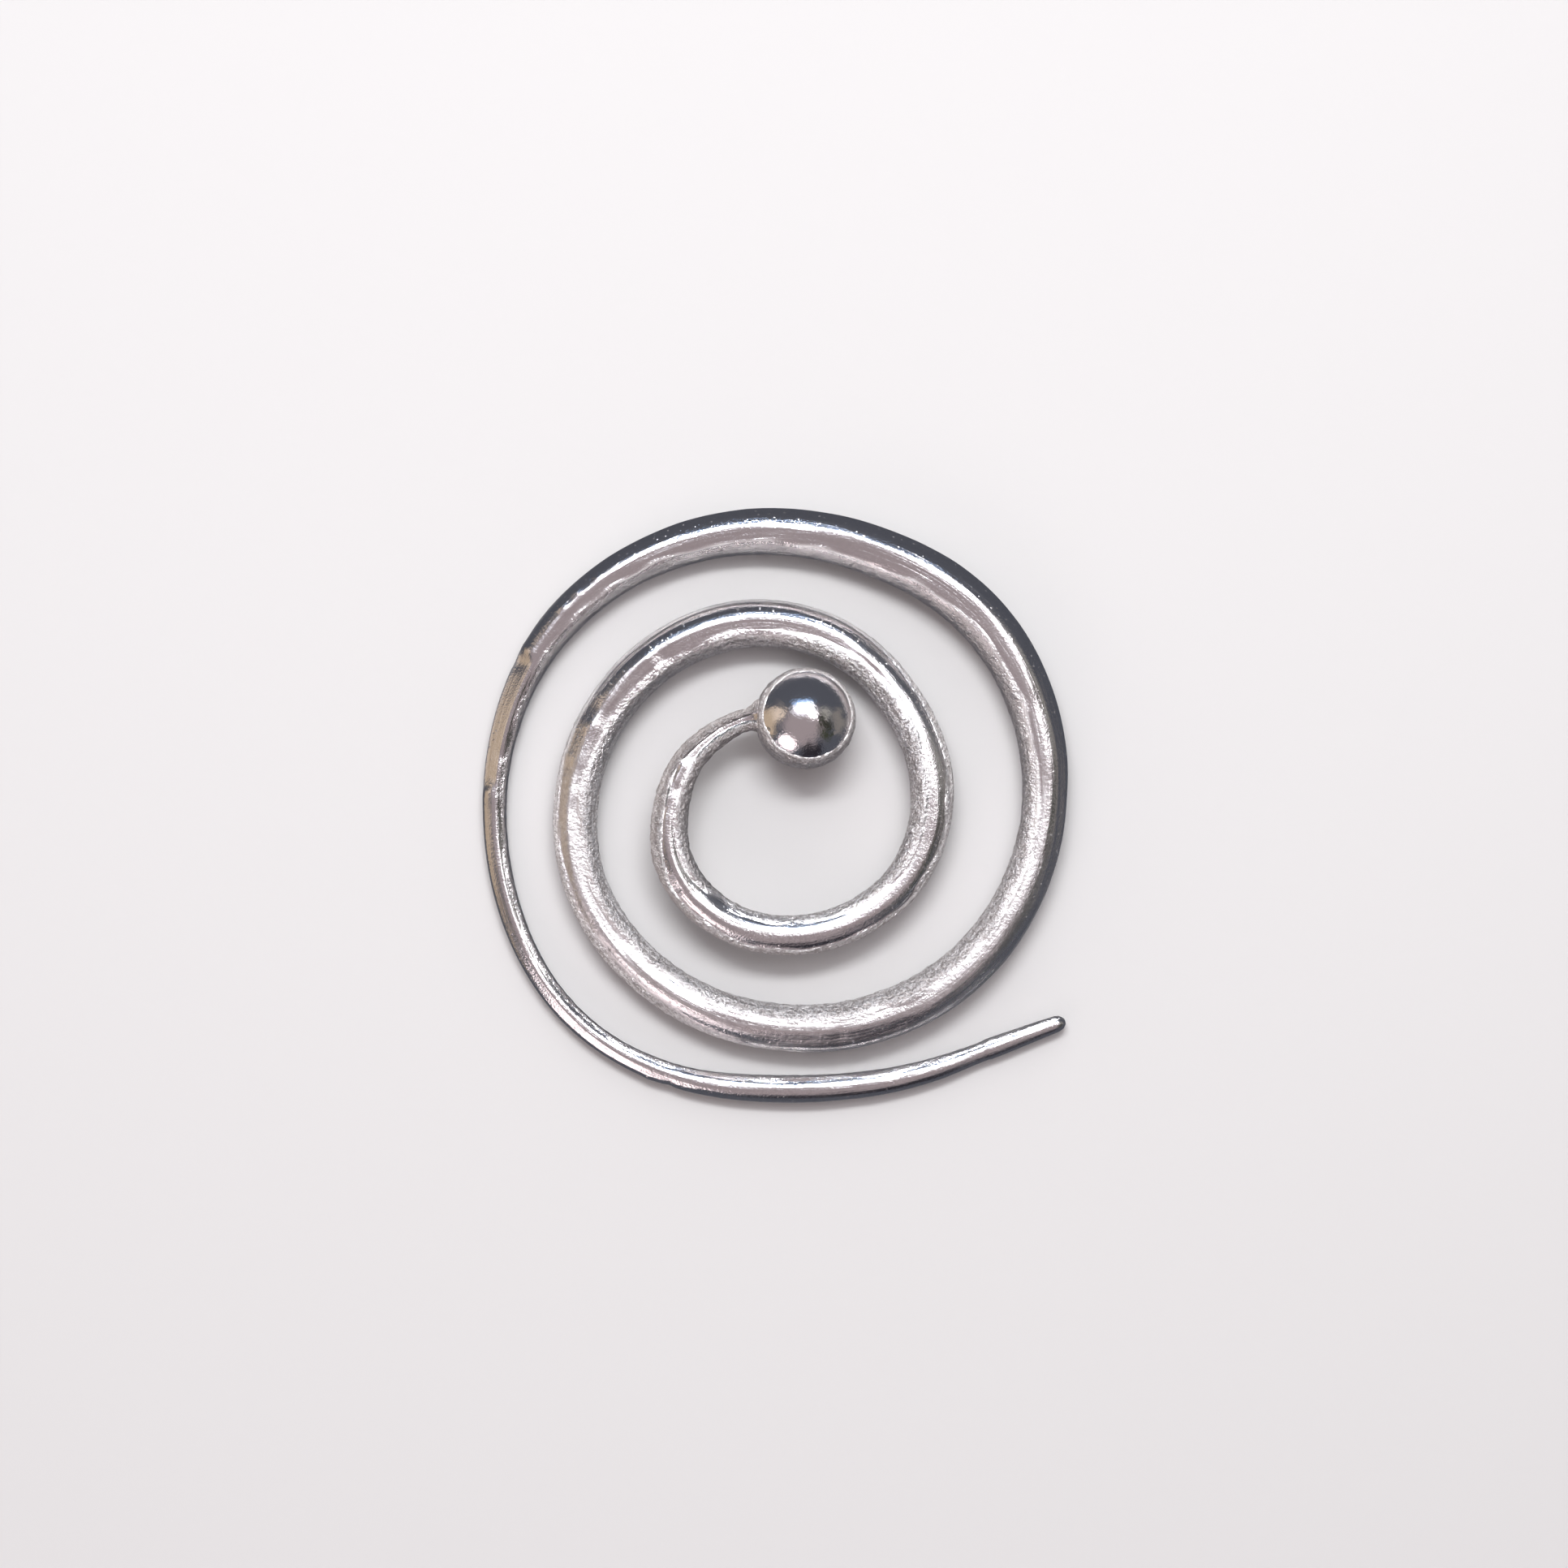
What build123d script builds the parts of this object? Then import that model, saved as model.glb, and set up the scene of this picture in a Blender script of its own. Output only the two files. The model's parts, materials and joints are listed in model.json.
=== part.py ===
"""Spiral ear cuff: one piece of silver wire, full in the body and thin at both ends, with a ball
soldered on its inner end.

The wire starts at the ball, winds outwards counter-clockwise seen from above, and ends in a thin
straight pin, which goes through the ear. It lies on the ground, Z = 0. Towards the ball the coil rises,
because the wire meets the ball at its middle. The origin is on the ground, under the middle of the
outline. +Y is the way from the pin's side of the coil to the far side of the outer turn. Lengths are
millimetres and angles are degrees.
"""

from build123d import *

import os
from math import asin, atan2, cos, degrees, hypot, radians, sin

import numpy as np

# Driving dimensions
coil_radius = 13.6  # pole of the spiral to the wire's centre line, at the far side of the outer turn
body_thickness = 2.6  # the wire where it is fullest
ear_wire_thickness = 1.1  # the drawn wire before the pin

ball_diameter = 5.0
ball_turn = 75.0  # where the ball lies round the pole
ball_gap = 0.65  # clear space between the ball and the turn outside it

neck_thickness = 1.1  # the wire where it meets the ball
neck_length = 0.6  # its straight stretch outside the ball
neck_flare = 17.0  # how far the neck turns into the round of the coil
collar_thickness = 1.9  # the solder round the neck, at the ball
collar_length = 0.5  # how far it runs out along the neck

pin_step = 16.5  # how far round the pole the pin's root lies past the coil's last section
pin_reach = 1.186  # and how far from the pole, as a share of coil_radius
pin_thickness = 1.0
pin_length = 5.0
pin_flare = 16.0  # how far the pin turns out of the round of the coil
pin_heel = 1.3  # straight taper from the ear wire down to the pin
pin_rounding = 0.36  # the filed edge of its tip

sunk = 0.98  # just inside a round wall, as a share of its radius

# The coil, a row for each section of the wire, outwards. turn is the angle round the pole. reach is a
# share of coil_radius. swell is the thickness, from the ear wire's at 0 to the body's at 1. rise is a
# share of the height that the ball lifts the neck by.
COIL = (
    # turn, reach, swell, rise
    (210, 0.466, 0.55, 0.72),
    (245, 0.495, 0.57, 0.60),
    (290, 0.510, 0.55, 0.45),
    (330, 0.540, 0.58, 0.34),
    (365, 0.552, 0.70, 0.26),
    (400, 0.570, 0.71, 0.20),
    (430, 0.617, 0.77, 0.15),
    (460, 0.665, 0.85, 0.11),
    (490, 0.702, 0.85, 0.07),
    (525, 0.748, 0.77, 0.04),
    (560, 0.797, 0.70, 0.02),
    (600, 0.821, 0.75, 0.00),
    (640, 0.862, 0.86, 0.00),
    (675, 0.919, 0.88, 0.00),
    (710, 0.963, 0.78, 0.00),
    (740, 0.990, 0.88, 0.00),
    (765, 0.999, 1.00, 0.00),
    (790, 0.984, 0.95, 0.00),
    (815, 1.002, 0.81, 0.00),
    (840, 1.032, 0.62, 0.00),
    (865, 1.062, 0.42, 0.00),
    (890, 1.071, 0.12, 0.00),
    (915, 1.089, 0.03, 0.00),
    (945, 1.127, 0.00, 0.00),
    (970, 1.103, 0.07, 0.00),
    (990, 1.077, 0.18, 0.00),
    (1010, 1.116, 0.11, 0.00),
)

# The inner end, between the neck and the coil's first row. round, out and fill are shares of the way
# from the neck's end to that row, in turn, in reach and in thickness.
INNER_END = (
    # round, out, fill, rise
    (0.18, 0.11, 0.20, 0.96),
    (0.41, 0.34, 0.45, 0.91),
    (0.68, 0.60, 0.78, 0.82),
)


def column(name):
    """One named column of the coil's table."""
    return [row[("turn", "reach", "swell", "rise").index(name)] for row in COIL]


def coil_at(turn, name):
    """A column of the coil's table between its rows."""
    return float(np.interp(turn, column("turn"), column(name)))


def swollen(swell):
    """The wire's thickness for a value of the swell column."""
    return ear_wire_thickness + swell * (body_thickness - ear_wire_thickness)


def spot(turn, reach, height=0.0):
    """The point at an angle and a distance from the pole."""
    angle = radians(turn)
    return Vector(reach * cos(angle), reach * sin(angle), height)


def ball_reach():
    """The distance from the pole to the ball, which keeps its gap to the turn outside it."""
    beside = ball_turn + 360.0
    inner_wall = coil_radius * coil_at(beside, "reach") - swollen(coil_at(beside, "swell")) / 2
    return inner_wall - ball_gap - ball_diameter / 2


def part_way(share, start, end):
    """The value at a share of the way from start to end."""
    return start + share * (end - start)


ball_radius = ball_diameter / 2
ball_centre = spot(ball_turn, ball_reach(), ball_radius)
neck_way = spot(ball_turn + 90.0 + neck_flare, 1.0)
neck_end = ball_centre + neck_way * (ball_radius + neck_length)
neck_lift = ball_radius - neck_thickness / 2  # how high the ball holds the neck off the ground

# The collar's outline along the neck and out from it: where it leaves the ball, and where it sinks
# into the neck
collar_foot = (ball_radius * cos(asin(collar_thickness / ball_diameter)), collar_thickness / 2)
collar_edge = (ball_radius + collar_length, sunk * neck_thickness / 2)

pin_turn = COIL[-1][0] + pin_step
pin_way = spot(pin_turn + 90.0 - pin_flare, 1.0)
pin_root = spot(pin_turn, coil_radius * pin_reach, pin_thickness / 2)
heel_start = pin_root - pin_way * pin_heel + Vector(0, 0, (ear_wire_thickness - pin_thickness) / 2)
pin_tip = pin_root + pin_way * pin_length


def wire_sections():
    """(centre, thickness) of each section of the wire from the neck's end to the pin's root."""
    sections = [(neck_end, neck_thickness)]
    neck_turn, neck_reach = degrees(atan2(neck_end.Y, neck_end.X)), hypot(neck_end.X, neck_end.Y)
    first_turn, first_reach, first_swell, _ = COIL[0]
    for along, out, fill, rise in INNER_END:
        thickness = part_way(fill, neck_thickness, swollen(first_swell))
        turn = part_way(along, neck_turn, first_turn)
        reach = part_way(out, neck_reach, coil_radius * first_reach)
        sections.append((spot(turn, reach, thickness / 2 + rise * neck_lift), thickness))
    for turn, reach, swell, rise in COIL:
        thickness = swollen(swell)
        sections.append((spot(turn, coil_radius * reach, thickness / 2 + rise * neck_lift), thickness))
    return sections + [(heel_start, ear_wire_thickness), (pin_root, pin_thickness)]


sections = wire_sections()

with BuildLine() as route:
    Spline(ball_centre, *[centre for centre, _ in sections], pin_tip)

centre_line = route.edges()[0]


def section_plane(centre):
    """The plane across the wire at a point of its centre line, with its own X axis upright."""
    if centre == neck_end:
        way = neck_way
    elif centre in (heel_start, pin_root):
        way = pin_way
    else:
        way = centre_line.tangent_at(centre_line.param_at_point(centre))
    upright = Vector(0, 0, 1) - way * way.Z
    return Plane(origin=centre, x_dir=upright, z_dir=way)


with BuildPart() as spiral_cuff:
    # The wire, from the neck's end to the pin's root
    for centre, thickness in sections:
        with BuildSketch(section_plane(centre)):
            Circle(thickness / 2)
    loft()

    # The straight neck, from the ball's middle
    with BuildSketch(section_plane(neck_end)):
        Circle(neck_thickness / 2)
    extrude(amount=-(ball_radius + neck_length))

    # The pin, with a filed tip
    with BuildSketch(section_plane(pin_root)):
        Circle(pin_thickness / 2)
    extrude(amount=pin_length)
    tip = spiral_cuff.edges().filter_by(GeomType.CIRCLE).sort_by(Axis(pin_root, pin_way))[-1]
    fillet(tip, radius=min(pin_rounding, sunk * pin_thickness / 2))

    # The ball
    with Locations(ball_centre):
        Sphere(ball_radius)

    # The collar of solder, hollow all round from the ball out to the neck
    neck_plane = Plane(origin=ball_centre, x_dir=neck_way, z_dir=neck_way.cross(Vector(0, 0, 1)))
    with BuildSketch(neck_plane):
        with BuildLine():
            Line((0, 0), collar_foot)
            TangentArc(collar_edge, collar_foot, tangent=(-1, 0))
            Line(collar_edge, (collar_edge[0], 0))
            Line((collar_edge[0], 0), (0, 0))
        make_face()
    revolve(axis=Axis(ball_centre, neck_way))

box = spiral_cuff.part.bounding_box()
spiral_cuff.part.position -= Vector(box.center().X, box.center().Y, box.min.Z)
spiral_cuff.part.label = "spiral_cuff"

os.makedirs("parts", exist_ok=True)
export_step(spiral_cuff.part, "parts/spiral_cuff.step")
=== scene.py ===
"""Spiral ear cuff of cast silver, dressed for the camera.

The wire is one mesh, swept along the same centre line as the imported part: collar, neck, coil, ear wire
and pin. The ball is a finer one, with a polished cap and a rough rim. Their relief is real geometry: the
grained skin that the casting left on the flanks, the polished strip along the crown, which lies a little
lower, and the dents, flats and nicks of hand work. Only the finest grain is bump. Lengths are metres,
unless a name ends in _MM, and angles are degrees.
"""

import json
import math

import bpy
import numpy as np
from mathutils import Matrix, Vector, noise


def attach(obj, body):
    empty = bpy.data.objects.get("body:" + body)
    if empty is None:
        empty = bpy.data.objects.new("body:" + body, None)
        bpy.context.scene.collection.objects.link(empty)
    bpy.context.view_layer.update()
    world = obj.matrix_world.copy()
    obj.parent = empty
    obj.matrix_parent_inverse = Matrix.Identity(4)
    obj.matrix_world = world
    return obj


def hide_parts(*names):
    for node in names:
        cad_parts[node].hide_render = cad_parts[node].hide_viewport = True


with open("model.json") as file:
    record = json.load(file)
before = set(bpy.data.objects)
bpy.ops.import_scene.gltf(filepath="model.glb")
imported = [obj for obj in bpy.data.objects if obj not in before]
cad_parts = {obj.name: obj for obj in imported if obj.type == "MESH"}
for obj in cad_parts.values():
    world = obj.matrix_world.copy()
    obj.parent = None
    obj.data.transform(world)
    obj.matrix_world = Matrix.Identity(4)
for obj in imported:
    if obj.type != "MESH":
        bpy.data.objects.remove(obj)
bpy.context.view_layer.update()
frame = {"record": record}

NODE = "spiral_cuff"
MM = 0.001

# The wire's own sizes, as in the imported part
COIL_RADIUS_MM = 13.6
BODY_MM = 2.6
EAR_WIRE_MM = 1.1
BALL_MM = 5.0
BALL_RADIUS_MM = BALL_MM / 2.0
BALL_CENTRE_MM = (1.0903, 4.0690)  # from the pole of the spiral
NECK_TURN = 182.0  # the way that the neck leaves the ball
NECK_MM = 1.1
NECK_LENGTH_MM = 0.6
COLLAR_MM = 1.9
COLLAR_LENGTH_MM = 0.5
COLLAR_CURVE = 2.2  # how hollow the collar is
PIN_MM = 1.0
PIN_LENGTH_MM = 5.0
PIN_HEEL_MM = 1.3
PIN_KNOTS = (0.0, 0.33, 0.67, 1.0)  # where the centre line is held straight, as shares of the pin
POLE_MM = (0.4205, 0.2952)  # the pole, from the middle of the outline

# The coil, a row for each section of the wire, outwards. turn is the angle round the pole. reach is a
# share of the coil's radius. swell is the thickness, from the ear wire's at 0 to the body's at 1. rise is
# a share of the height that the ball lifts the neck by.
COIL = (
    # turn, reach, swell, rise
    (210, 0.466, 0.55, 0.72),
    (245, 0.495, 0.57, 0.60),
    (290, 0.510, 0.55, 0.45),
    (330, 0.540, 0.58, 0.34),
    (365, 0.552, 0.70, 0.26),
    (400, 0.570, 0.71, 0.20),
    (430, 0.617, 0.77, 0.15),
    (460, 0.665, 0.85, 0.11),
    (490, 0.702, 0.85, 0.07),
    (525, 0.748, 0.77, 0.04),
    (560, 0.797, 0.70, 0.02),
    (600, 0.821, 0.75, 0.00),
    (640, 0.862, 0.86, 0.00),
    (675, 0.919, 0.88, 0.00),
    (710, 0.963, 0.78, 0.00),
    (740, 0.990, 0.88, 0.00),
    (765, 0.999, 1.00, 0.00),
    (790, 0.984, 0.95, 0.00),
    (815, 1.002, 0.81, 0.00),
    (840, 1.032, 0.62, 0.00),
    (865, 1.062, 0.42, 0.00),
    (890, 1.071, 0.12, 0.00),
    (915, 1.089, 0.03, 0.00),
    (945, 1.127, 0.00, 0.00),
    (970, 1.103, 0.07, 0.00),
    (990, 1.077, 0.18, 0.00),
    (1010, 1.116, 0.11, 0.00),
)

# The inner end, between the neck and the coil's first row, in shares of the way from one to the other
INNER_END = (
    # round, out, fill, rise
    (0.18, 0.11, 0.20, 0.96),
    (0.41, 0.34, 0.45, 0.91),
    (0.68, 0.60, 0.78, 0.82),
)

# The pin's thickness towards its tip, as a share of the pin's
PIN_TAPER = (
    # from_tip_mm, share
    (0.00, 0.20),
    (0.08, 0.46),
    (0.22, 0.68),
    (0.45, 0.81),
    (0.90, 0.85),
    (1.80, 0.91),
    (3.00, 1.00),
    (4.30, 1.06),
)
PIN_SWELL = 1.06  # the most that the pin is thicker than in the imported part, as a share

# Where the grained skin starts on each flank, as a share of the wire's half thickness from its middle:
# inner is the flank towards the pole, outer the other one. 1 is the very edge, so over 1 there is none.
# coarse is how strong the skin's grain is, satin how dull the polished strip between the flanks is, and
# pale how light the skin is: its low values on the top turns, whose inner flank faces away from the key,
# are painted shade.
SKIN_COLUMNS = ("turn", "inner", "outer", "coarse", "satin", "pale")
SKIN = (
    # turn, inner, outer, coarse, satin, pale
    (60, 0.20, 0.30, 1.3, 0.1, 0.4),
    (150, 0.28, 0.34, 1.4, 0.1, 0.5),
    (190, 0.35, 0.42, 1.4, 0.1, 0.6),
    (215, 0.50, 0.55, 1.3, 0.1, 0.5),
    (240, 0.70, 0.58, 1.2, 0.1, 0.7),
    (265, 0.68, 0.66, 1.2, 0.1, 1.0),
    (300, 0.60, 0.76, 1.1, 0.1, 1.0),
    (345, 0.20, 0.68, 1.0, 0.4, 1.0),
    (385, 0.12, 0.72, 1.0, 0.5, 1.0),
    (420, 0.20, 0.88, 1.0, 0.2, 1.0),
    (455, 0.38, 0.98, 0.8, 0.0, 0.9),
    (490, 0.36, 0.95, 0.7, 0.0, 0.8),
    (520, 0.40, 0.85, 0.7, 0.2, 0.9),
    (538, 0.15, 0.80, 0.9, 1.2, 1.0),
    (580, 0.35, 0.66, 1.0, 0.9, 1.0),
    (605, 0.42, 0.66, 1.0, 0.5, 1.0),
    (622, 0.38, 0.98, 1.0, 0.5, 1.0),
    (645, 0.30, 1.10, 1.0, 0.6, 1.0),
    (670, 0.26, 1.10, 1.0, 0.7, 1.0),
    (700, 0.28, 1.10, 0.9, 0.8, 0.9),
    (740, 0.45, 1.20, 0.8, 0.2, 0.5),
    (780, 0.52, 1.20, 0.6, 0.0, 0.3),
    (820, 0.48, 1.20, 0.5, 0.0, 0.3),
    (860, 0.45, 1.10, 0.5, 0.0, 0.3),
    (900, 0.55, 1.10, 0.5, 0.0, 0.4),
    (940, 0.60, 1.10, 0.5, 0.0, 0.5),
    (970, 0.70, 1.10, 0.5, 0.0, 0.7),
    (1010, 0.70, 1.10, 0.5, 0.0, 0.7),
    (1045, 0.55, 1.10, 0.4, 0.2, 0.7),
)

# How the skin's border wanders to and fro: far is a share of the wire's half thickness, and the waves are
# size_mm wide. draw is their width as a share of their length.
BORDER_WAVES = (
    # far, draw, size_mm
    (0.14, 0.35, 0.7),
    (0.09, 0.20, 0.3),
)

# Where the skin starts and where it is full, as shares of the half thickness: on the flanks from the
# table's value, and on the lower side and the underside from the wire's middle downwards
INNER_BORDER = (-0.15, 0.35)
OUTER_BORDER = (-0.10, 0.20)
LOW_BORDER = (0.15, 0.45)
LOW_OUTER = (0.98, 0.90)  # the lower side has it only where outer is under these
UNDER_BORDER = (0.55, 0.85)

# The bright line along each edge is a painted reflection: it is matt, so it stays light where polished
# silver would mirror pale surroundings. On the outer flank it starts and is full at a number and a share
# of outer, and fades where outer is over 1.
EDGE_START = (0.58, 0.26)
EDGE_FULL = (0.72, 0.24)
EDGE_OUTER = (1.15, 1.0)
INNER_EDGE = 0.6  # how bright it is on the inner flank
INNER_EDGE_BORDER = (0.80, 0.98)
INNER_EDGE_PALE = (0.5, 1.0)  # the values of pale over which it comes in there

# Flats left by the file. start and end are turns, and a flat comes in and goes out over fade to both
# sides of them. facing is the angle round the section, 0 outwards and 90 upwards, and keep the distance
# of the flat from the wire's middle, as a share of its half thickness.
FLATS = (
    # start, end, fade, facing, keep
    (871, 897, 1.5, 54, 0.74),
    (899, 948, 2, 60, 0.91),
    (945, 972, 2, 66, 0.94),
    (512, 560, 3, 50, 0.95),
    (534, 585, 4, 96, 0.93),
    (330, 395, 6, 205, 0.95),
    (700, 752, 4, 40, 0.94),
    (742, 862, 12, 98, 0.955),
    (425, 520, 12, 97, 0.955),
    (786, 850, 4, 140, 0.96),
    (560, 625, 4, 50, 0.975),
    (625, 660, 3, 60, 0.95),
    (60, 158, 4, 98, 0.93),
    (130, 158, 2, 70, 0.95),
    (162, 222, 2, 60, 0.95),
    (166, 222, 2, 118, 0.96),
    (405, 424, 3, 125, 0.95),
)

# Dents, and lumps where depth is below 0. along is their half length, around the half angle that they
# take up.
DENTS = (
    # turn, facing, along_mm, around, depth_mm
    (869.5, 40, 0.22, 40, -0.045),
    (873, 20, 0.30, 40, 0.040),
    (891, 105, 0.35, 40, 0.045),
    (897.5, 40, 0.14, 30, 0.060),
    (900, 60, 0.40, 60, -0.030),
    (968, 15, 0.25, 35, 0.080),
    (964, 20, 0.25, 30, -0.040),
    (741, 75, 0.90, 60, 0.045),
    (729, 60, 1.10, 60, -0.030),
    (720, 0, 1.60, 70, 0.060),
    (529, 35, 0.26, 30, -0.035),
    (532, 60, 0.30, 60, 0.028),
    (538, 100, 0.35, 40, -0.035),
    (543, 85, 0.30, 40, 0.030),
    (494, 95, 0.35, 30, -0.040),
    (489, 100, 0.40, 35, 0.035),
    (514, 80, 0.60, 30, 0.045),
    (519, 60, 0.35, 30, -0.040),
    (158, 60, 0.16, 50, 0.022),
    (161, 100, 0.16, 50, -0.022),
    (152, 260, 0.40, 60, 0.050),
    (174, 110, 0.30, 40, 0.040),
    (184, 60, 0.35, 30, 0.035),
    (414, 118, 0.80, 40, 0.070),
    (423, 112, 0.60, 40, -0.035),
    (643.5, 70, 0.30, 30, 0.050),
    (648, 75, 0.50, 35, -0.030),
    (637, 78, 0.40, 30, 0.025),
    (631, 330, 1.20, 60, 0.060),
    (855, 60, 0.20, 14, -0.040),
    (859, 62, 0.24, 16, -0.045),
    (850, 62, 0.16, 14, -0.030),
    (226, 108, 0.45, 30, 0.045),
    (590, 20, 0.50, 40, 0.040),
    (576, 40, 0.40, 30, -0.030),
    (1004, 70, 0.60, 40, 0.020),
    (1012, 100, 0.50, 40, 0.030),
    (779, 85, 0.80, 50, 0.030),
    (797, 80, 1.00, 50, -0.025),
    (690, 70, 0.90, 60, 0.025),
    (345, 90, 0.60, 50, 0.020),
)

# How the meshes are laid out
SIDES = 80
CROWDING = 0.32  # how much closer the sides stand on top than underneath
WIRE_RINGS = 1220
TIP_RINGS = 12  # the last ones, which crowd towards the pin's tip
SUNK_MM = 0.3  # how deep the wire starts in the ball
BALL_SIDES = 240
BALL_RINGS = (
    # start, end, rings
    (0.8, 52.0, 30),
    (52.0, 72.0, 60),
    (72.0, 179.0, 70),
)

# The wire's relief
FLAT_EDGE_MM = 0.03  # how round the edges of the flats are
FLAT_REACH = 0.2  # the least cosine of the angle from its facing that a flat reaches
CREST_MM = 0.035  # the ridge where the skin meets the polished strip
CREST_WIDTH = 0.055  # as a share of the wire's half thickness
CREST_START = (672, 700)  # the turns over which it comes in
CREST_END = (866, 840)  # and goes out
CREST_WAVES = (0.75, 0.9)  # how high it is on average, and how much it swells and shrinks
CREST_WAVE_MM = 0.5
CREST_DRAW = (0.3, 0.0, 0.0)  # which makes its waves 1.7 mm long, and the same all round the wire
SKIN_HEIGHT_MM = 0.016  # the grained skin over the polished strip
GRAIN_MM = 0.27
GRAIN_HEIGHT_MM = 0.044
STRIP_GRAIN = 0.15  # how much of the grain is left where the skin ends
LEAST_SKIN = 0.02  # there is no grain where there is less skin than this
RIDGE_MM = (5.0, 0.22)  # long and wide
RIDGE_HEIGHT_MM = 0.020
LUMP_MM = 2.6
LUMP_SQUASH = (1.0, 1.0, 1.6)  # how much flatter than wide the lumps are
LUMP_HEIGHT_MM = 0.024
DIMPLE_MM = (1.3, 0.50)  # long and wide
DIMPLE_HEIGHT_MM = 0.011
STREAK_MM = (6.0, 0.45)  # long and wide
STREAK_HEIGHT_MM = 0.018
FULL_RELIEF_MM = 1.1  # the half thickness from which the relief is at its full height
FRACTAL = (0.9, 2.1)  # how fast finer noise fades, and how much finer each octave is

# The ball's polished cap, which leans, and its rim. past is the angle on from the cap's edge.
CAP_EDGE = 59.5
CAP_LEAN = 10.5
CAP_BEARING = 58.0
CAP_WAVES = (
    # far, size_mm
    (1.8, 0.9),
    (0.8, 0.35),
)
CAP_FLAT_MM = 0.15  # how much flatter than a true ball the cap is
CAP_FLAT_WIDTH = 38.0
CAP_SUNK = 0.6  # how much of that lies below the true ball, in the cap's middle
CAP_FADE = (35.0, 2.0)  # how far past the cap's edge its swell is gone, and where it starts to go
CAP_GRAIN = 0.04  # how much of the grain is left on the cap
RIM_START = (-0.8, 0.8)  # where the rim starts and where it is full, past the cap's edge
RIM_WAVES = (0.8, 0.8)  # how much the rim swells and shrinks, and over how many millimetres
# The bright line along the cap's edge is a painted reflection, kept light and matt, and the darker rim
# away from it is painted shade
RIM_BORDER = 6.0  # how wide the bright line along the cap's edge is
RIM_SKIN = 0.9  # how strong its skin is
RIM_EDGE = 0.25  # how bright the rest of the rim is
RIM_DARK = 0.3  # how dark it is away from that line
RIM = (
    # past, out_mm
    (-0.8, 0.000),
    (0.3, -0.018),
    (1.6, 0.024),
    (4.5, 0.014),
    (6.5, -0.014),
    (8.5, 0.018),
    (20.0, 0.016),
    (45.0, 0.004),
    (123.0, 0.000),
)

# Pits and bubbles in the ball, round where it is least polished. A depth below 0 is a bubble.
PITS = (
    # bearing, from_above, half_width_mm, depth_mm
    (197, 50, 0.13, 0.030),
    (207, 57, 0.16, 0.040),
    (216, 51, 0.12, -0.020),
    (224, 58, 0.16, 0.035),
    (233, 53, 0.12, -0.020),
    (242, 60, 0.15, 0.035),
    (252, 54, 0.14, -0.025),
    (262, 61, 0.16, 0.030),
    (330, 42, 0.10, -0.025),
    (353, 26, 0.07, -0.020),
    (172, 30, 0.10, 0.012),
)

# The finest relief, which is bump. The first number is how many there are in a metre, or along the wire
# and across it for what is drawn out. The others are the noise's detail and roughness.
GRAINS = (9000.0, 2.0, 0.65)
BEADS = (4000.0, 1.0, 0.5)
DAPPLES = (4200.0, 2.5, 0.6)
FURROWS = ((700.0, 6000.0, 6000.0), 1.0, 0.5)
LINES = ((220.0, 7600.0, 7600.0), 2.5, 0.6)
SPECKS = 3400.0
SPECK_SIZE = (0.26, 0.10)  # where a speck starts and where it is full, from its middle
SPECK_FLANK = (0.0001, 0.0006)  # the metres out from the wire's middle over which they come in

# How high it stands, in metres
SKIN_GRAIN_HEIGHT = 0.000115
STRIP_GRAIN_HEIGHT = 0.000013
BEAD_HEIGHT = 0.000150
LINE_HEIGHT = 0.000016
SATIN_DAPPLE_HEIGHT = 0.000026
DAPPLE_HEIGHT = 0.000006
SPECK_HEIGHT = 0.000010
SKIN_LINES = 0.5  # how much of the drawn lines the skin takes away

# The silver itself. The hollows of the grain are darker, partly tarnish and partly painted shade that
# stands in for the grain's sparkle: beads and furrows count by these shares, and the sum starts to be a
# hollow at one number and is one at the other.
BEAD_SHARE = 0.55
FURROW_SHARE = 0.50
HOLLOW = (1.17, 0.86)
BRIGHT = (1.0, 0.968, 0.962, 1.0)
# the dark tone, for tarnish and for painted shade
TARNISH_SHADE_COLOUR = (0.58, 0.535, 0.520, 1.0)
SATIN_DULLNESS = 0.14
STRIP_DULLNESS = 0.22
SKIN_ROUGHNESS = 0.42
SATIN_ROUGHNESS = 0.18
DRAWN = (0.3, 0.75)  # the noise between the drawn lines and on them
POLISH_ROUGHNESS = (0.13, 0.21)  # and how rough the silver is there
CAP_POLISH = 0.30  # how much smoother the ball's cap is than the strip
SKIN_MATTNESS = 0.05
EDGE_MATTNESS = 0.48
SPECK_BEADS = (0.50, 0.66)  # the noise of the beads over which specks turn matt
SPECK_MATTNESS = 0.18

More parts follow.
